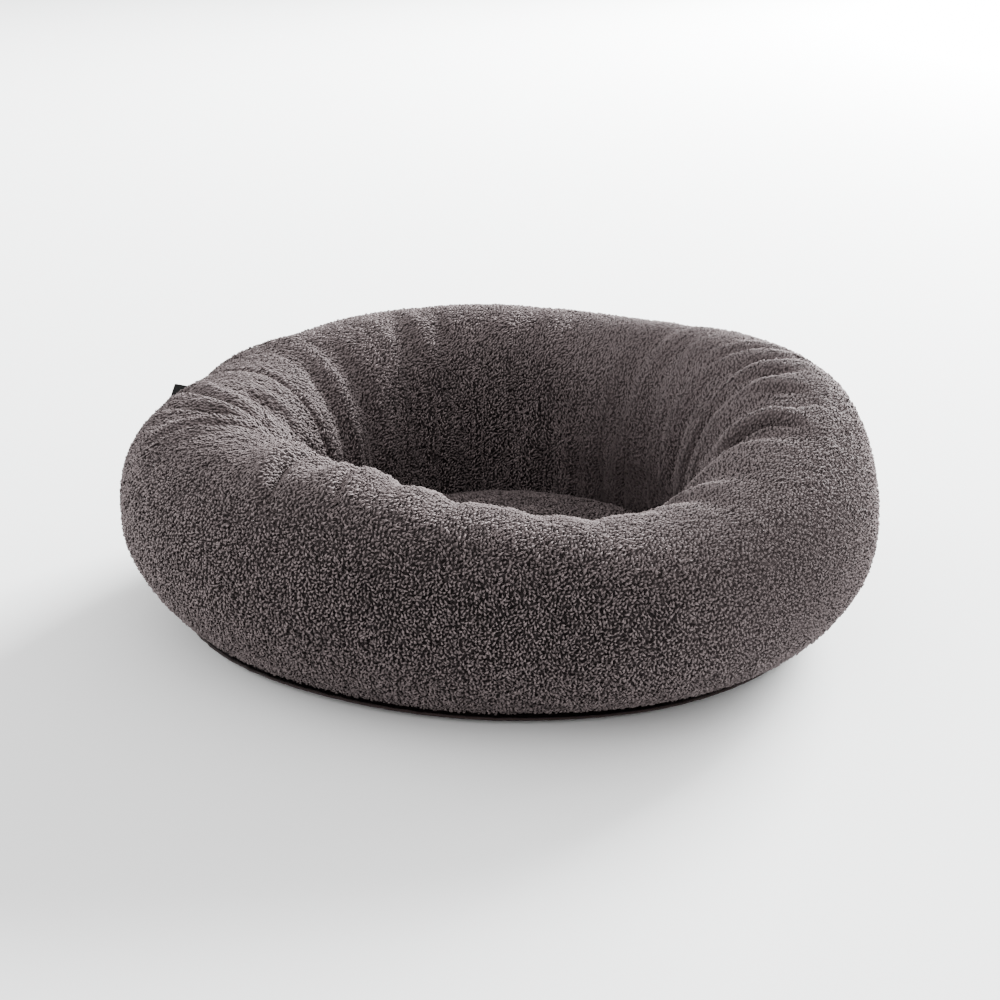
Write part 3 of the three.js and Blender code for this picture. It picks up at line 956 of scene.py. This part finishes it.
class BED_OT_base(bpy.types.Operator):
    """Makes the base cloth with its edge turned up round the ring"""

    bl_idname = "bed.base"
    bl_label = "Base cloth"

    def execute(self, context):
        sizes = context.scene.bed_cloth
        rz = through(sections("base_panel"), 360, 0)
        count = rz.shape[1]
        rz = through(rz, (count - 1) * 2 + 1, 1, closed=False)
        rng = np.random.default_rng(5)
        rounds = len(rz)
        turn = np.linspace(0, 2 * np.pi, rounds, endpoint=False)
        waves = (61, 83, 107, 134)
        wave = sum(rng.uniform(0.4, 1) * np.sin(turn * n + rng.uniform(0, 6.3)) for n in waves)
        lift = np.clip(rz[..., 1] / (8 * MM), 0, 1) ** 2  # only the turned-up edge puckers
        rz[..., 0] += sizes.pucker * wave[:, None] * lift
        flat = [np.stack([rz[:, 0, 0] * s, np.zeros(rounds)], 1)[:, None] for s in (0.3, 0.65, 0.95)]
        top = [np.stack([rz[:, -1, 0] * s, rz[:, -1, 1]], 1)[:, None] for s in (0.95, 0.65, 0.3)]
        rows = np.concatenate([*flat, rz, *top], 1)
        spots, faces = capped(placed(rows), 0, rows[0, -1, 1])
        coat = woven_finish("base_weave", sizes.base_color, pitch=1.6 * MM, relief=0.3 * MM)
        piece = mesh_object("base_cloth", spots, faces, coat)
        declare(piece, "base_cloth", "base_panel")
        return {"FINISHED"}


class BED_OT_tab(bpy.types.Operator):
    """Makes the blank folded tape tab"""

    bl_idname = "bed.tab"
    bl_label = "Tape tab"

    def execute(self, context):
        sizes, pile_depth = context.scene.bed_cloth, context.scene.bed_pile.depth
        spots = np.array([corner.co for corner in frame["nodes"]["label_tab"].data.vertices])
        middle = spots.mean(0)
        wide, out, thick = np.linalg.svd(spots - middle, full_matrices=False)[2]
        out = out * np.sign(out @ middle)
        wide = wide * np.sign(wide[2])
        own = (spots - middle) @ np.array([wide, out, thick]).T
        low, high = own.min(0), own.max(0)
        high[1] += 0.35 * pile_depth  # out of the pile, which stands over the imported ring
        ply = sizes.tape_ply
        bend = (high[2] - low[2] - ply) / 2
        centre = high[1] - bend - ply / 2
        straight = np.linspace(low[1], centre, 9)
        arc = np.linspace(np.pi / 2, -np.pi / 2, 13)
        # The tape's middle line, seen from its side: out, round the fold and back
        path = np.vstack([
            np.column_stack([straight[:-1], np.full(8, bend)]),
            np.column_stack([centre + bend * np.cos(arc), bend * np.sin(arc)]),
            np.column_stack([straight[-2::-1], np.full(8, -bend)])])
        path[:, 1] += (high[2] + low[2]) / 2
        ahead = np.gradient(path, axis=0)
        ahead /= np.linalg.norm(ahead, axis=1, keepdims=True)
        side = np.stack([-ahead[:, 1], ahead[:, 0]], 1)
        reach = (high[0] - low[0]) / 2
        # Its outline across that line, with thin rounded edges
        shares = np.sin(np.linspace(-np.pi / 2, np.pi / 2, 15))
        half = ply / 2 * (0.85 + 0.15 * np.abs(shares) ** 6) * (1 - shares**8) ** 0.5
        back = slice(-2, 0, -1)
        loop = np.vstack([np.column_stack([shares, half]), np.column_stack([shares[back], -half[back]])])
        rounds, points = len(loop), len(path)
        rise = np.clip((path[:, 0] - low[1]) / (high[1] - low[1]), 0, 1)
        bow = 0.3 * MM * rise * np.cos(loop[:, :1] * 2.6 + 0.4)
        grid = (middle + sizes.tab_lift * wide
                + (reach * loop[:, :1] * (1 - 0.02 * rise))[..., None] * wide
                + (path[:, 0] + loop[:, 1:] * side[:, 0])[..., None] * (out - sizes.tab_slant * wide)
                + (path[:, 1] + loop[:, 1:] * side[:, 1] + bow)[..., None] * thick)
        faces = grid_faces(rounds, points, False).tolist()
        faces += [[i * points for i in range(rounds)], [i * points + points - 1 for i in range(rounds)][::-1]]
        coat = woven_finish("tape_weave", sizes.tape_color, pitch=0.8 * MM, relief=0.2 * MM)
        piece = mesh_object("tape_tab", grid, faces, coat)
        shell = bmesh.new()
        shell.from_mesh(piece.data)
        bmesh.ops.recalc_face_normals(shell, faces=shell.faces)
        shell.to_mesh(piece.data)
        shell.free()
        declare(piece, "tape", "label_tab")
        return {"FINISHED"}


class BED_OT_stage(bpy.types.Operator):
    """Makes the floor, the lights and the camera"""

    bl_idname = "bed.stage"
    bl_label = "Stage"

    def execute(self, context):
        sizes = context.scene.bed_stage
        reach = 12
        square = [(-reach, -reach, 0), (reach, -reach, 0), (reach, reach, 0), (-reach, reach, 0)]
        paint = plain_finish("floor_paint", sizes.floor_color)
        ground = mesh_object("stage_floor", square, [(0, 1, 2, 3)], paint)
        world = bpy.data.worlds.new("studio")
        world.use_nodes = True
        sky = Tree(world.node_tree)
        light = sky.node("ShaderNodeBackground", {}, {"Color": (1, 1, 1, 1), "Strength": sizes.surround})[0]
        sky.node("ShaderNodeOutputWorld", {}, {"Surface": light})
        context.scene.world = world
        lamps = [
            ("right_light", (4.2, 2.9, 1.4), 2.4, 380.0),
            ("back_light", (3.0, 4.4, 1.8), 2.4, 3100.0),
            ("left_light", (-4.4, 2.4, 1.4), 2.4, 240.0),
        ]
        for name, place, side, power in lamps:
            lamp = bpy.data.lights.new(name, "AREA")
            lamp.size = side
            lamp.energy = power
            lamp.color = (0.97, 1.0, 1.0)
            item = bpy.data.objects.new(name, lamp)
            item.location = place
            item.rotation_euler = (Vector((0, 0, 0.1)) - Vector(place)).to_track_quat("-Z", "Y").to_euler()
            context.scene.collection.objects.link(item)
        camera = bpy.data.cameras.new("camera")
        camera.lens = sizes.lens
        camera.sensor_width = 36
        camera.shift_x = sizes.shift
        view = bpy.data.objects.new("camera", camera)
        aim = Vector((0, 0, sizes.aim_height))
        away = Vector((0, -math.cos(sizes.elevation), math.sin(sizes.elevation)))
        view.location = aim + away * sizes.distance
        turn = (-away).to_track_quat("-Z", "Y").to_matrix() @ Matrix.Rotation(-sizes.roll, 3, "Z")
        view.rotation_euler = turn.to_euler()
        context.scene.collection.objects.link(view)
        context.scene.camera = view
        return {"FINISHED"}


class BED_PT_panel(bpy.types.Panel):
    """Makes the bed's pieces and its stage"""

    bl_idname = "BED_PT_panel"
    bl_label = "Plush ring bed"
    bl_space_type = "VIEW_3D"
    bl_region_type = "UI"
    bl_category = "Bed"

    def draw(self, context):
        for sizes, makers in PARTS:
            group = getattr(context.scene, sizes)
            for name in group.bl_rna.properties.keys():
                if name not in ("rna_type", "name"):
                    self.layout.prop(group, name)
            for maker in makers:
                self.layout.operator(maker.bl_idname)


GROUPS = {"bed_ring": RingSizes, "bed_pile": PileSizes, "bed_cloth": ClothSizes, "bed_stage": StageSizes}
PARTS = [
    ("bed_ring", [BED_OT_ring, BED_OT_floor]),
    ("bed_pile", [BED_OT_pile]),
    ("bed_cloth", [BED_OT_base, BED_OT_tab]),
    ("bed_stage", [BED_OT_stage]),
]
CLASSES = [*GROUPS.values(), *[maker for _, makers in PARTS for maker in makers], BED_PT_panel]


def register():
    for item in CLASSES:
        bpy.utils.register_class(item)
    for name, group in GROUPS.items():
        setattr(bpy.types.Scene, name, bpy.props.PointerProperty(type=group))


def unregister():
    for name in GROUPS:
        delattr(bpy.types.Scene, name)
    for item in reversed(CLASSES):
        bpy.utils.unregister_class(item)


def main():
    register()
    for _, makers in PARTS:
        for maker in makers:
            group, name = maker.bl_idname.split(".")
            getattr(getattr(bpy.ops, group), name)()
    bpy.context.view_layer.update()


if __name__ == "__main__":
    main()
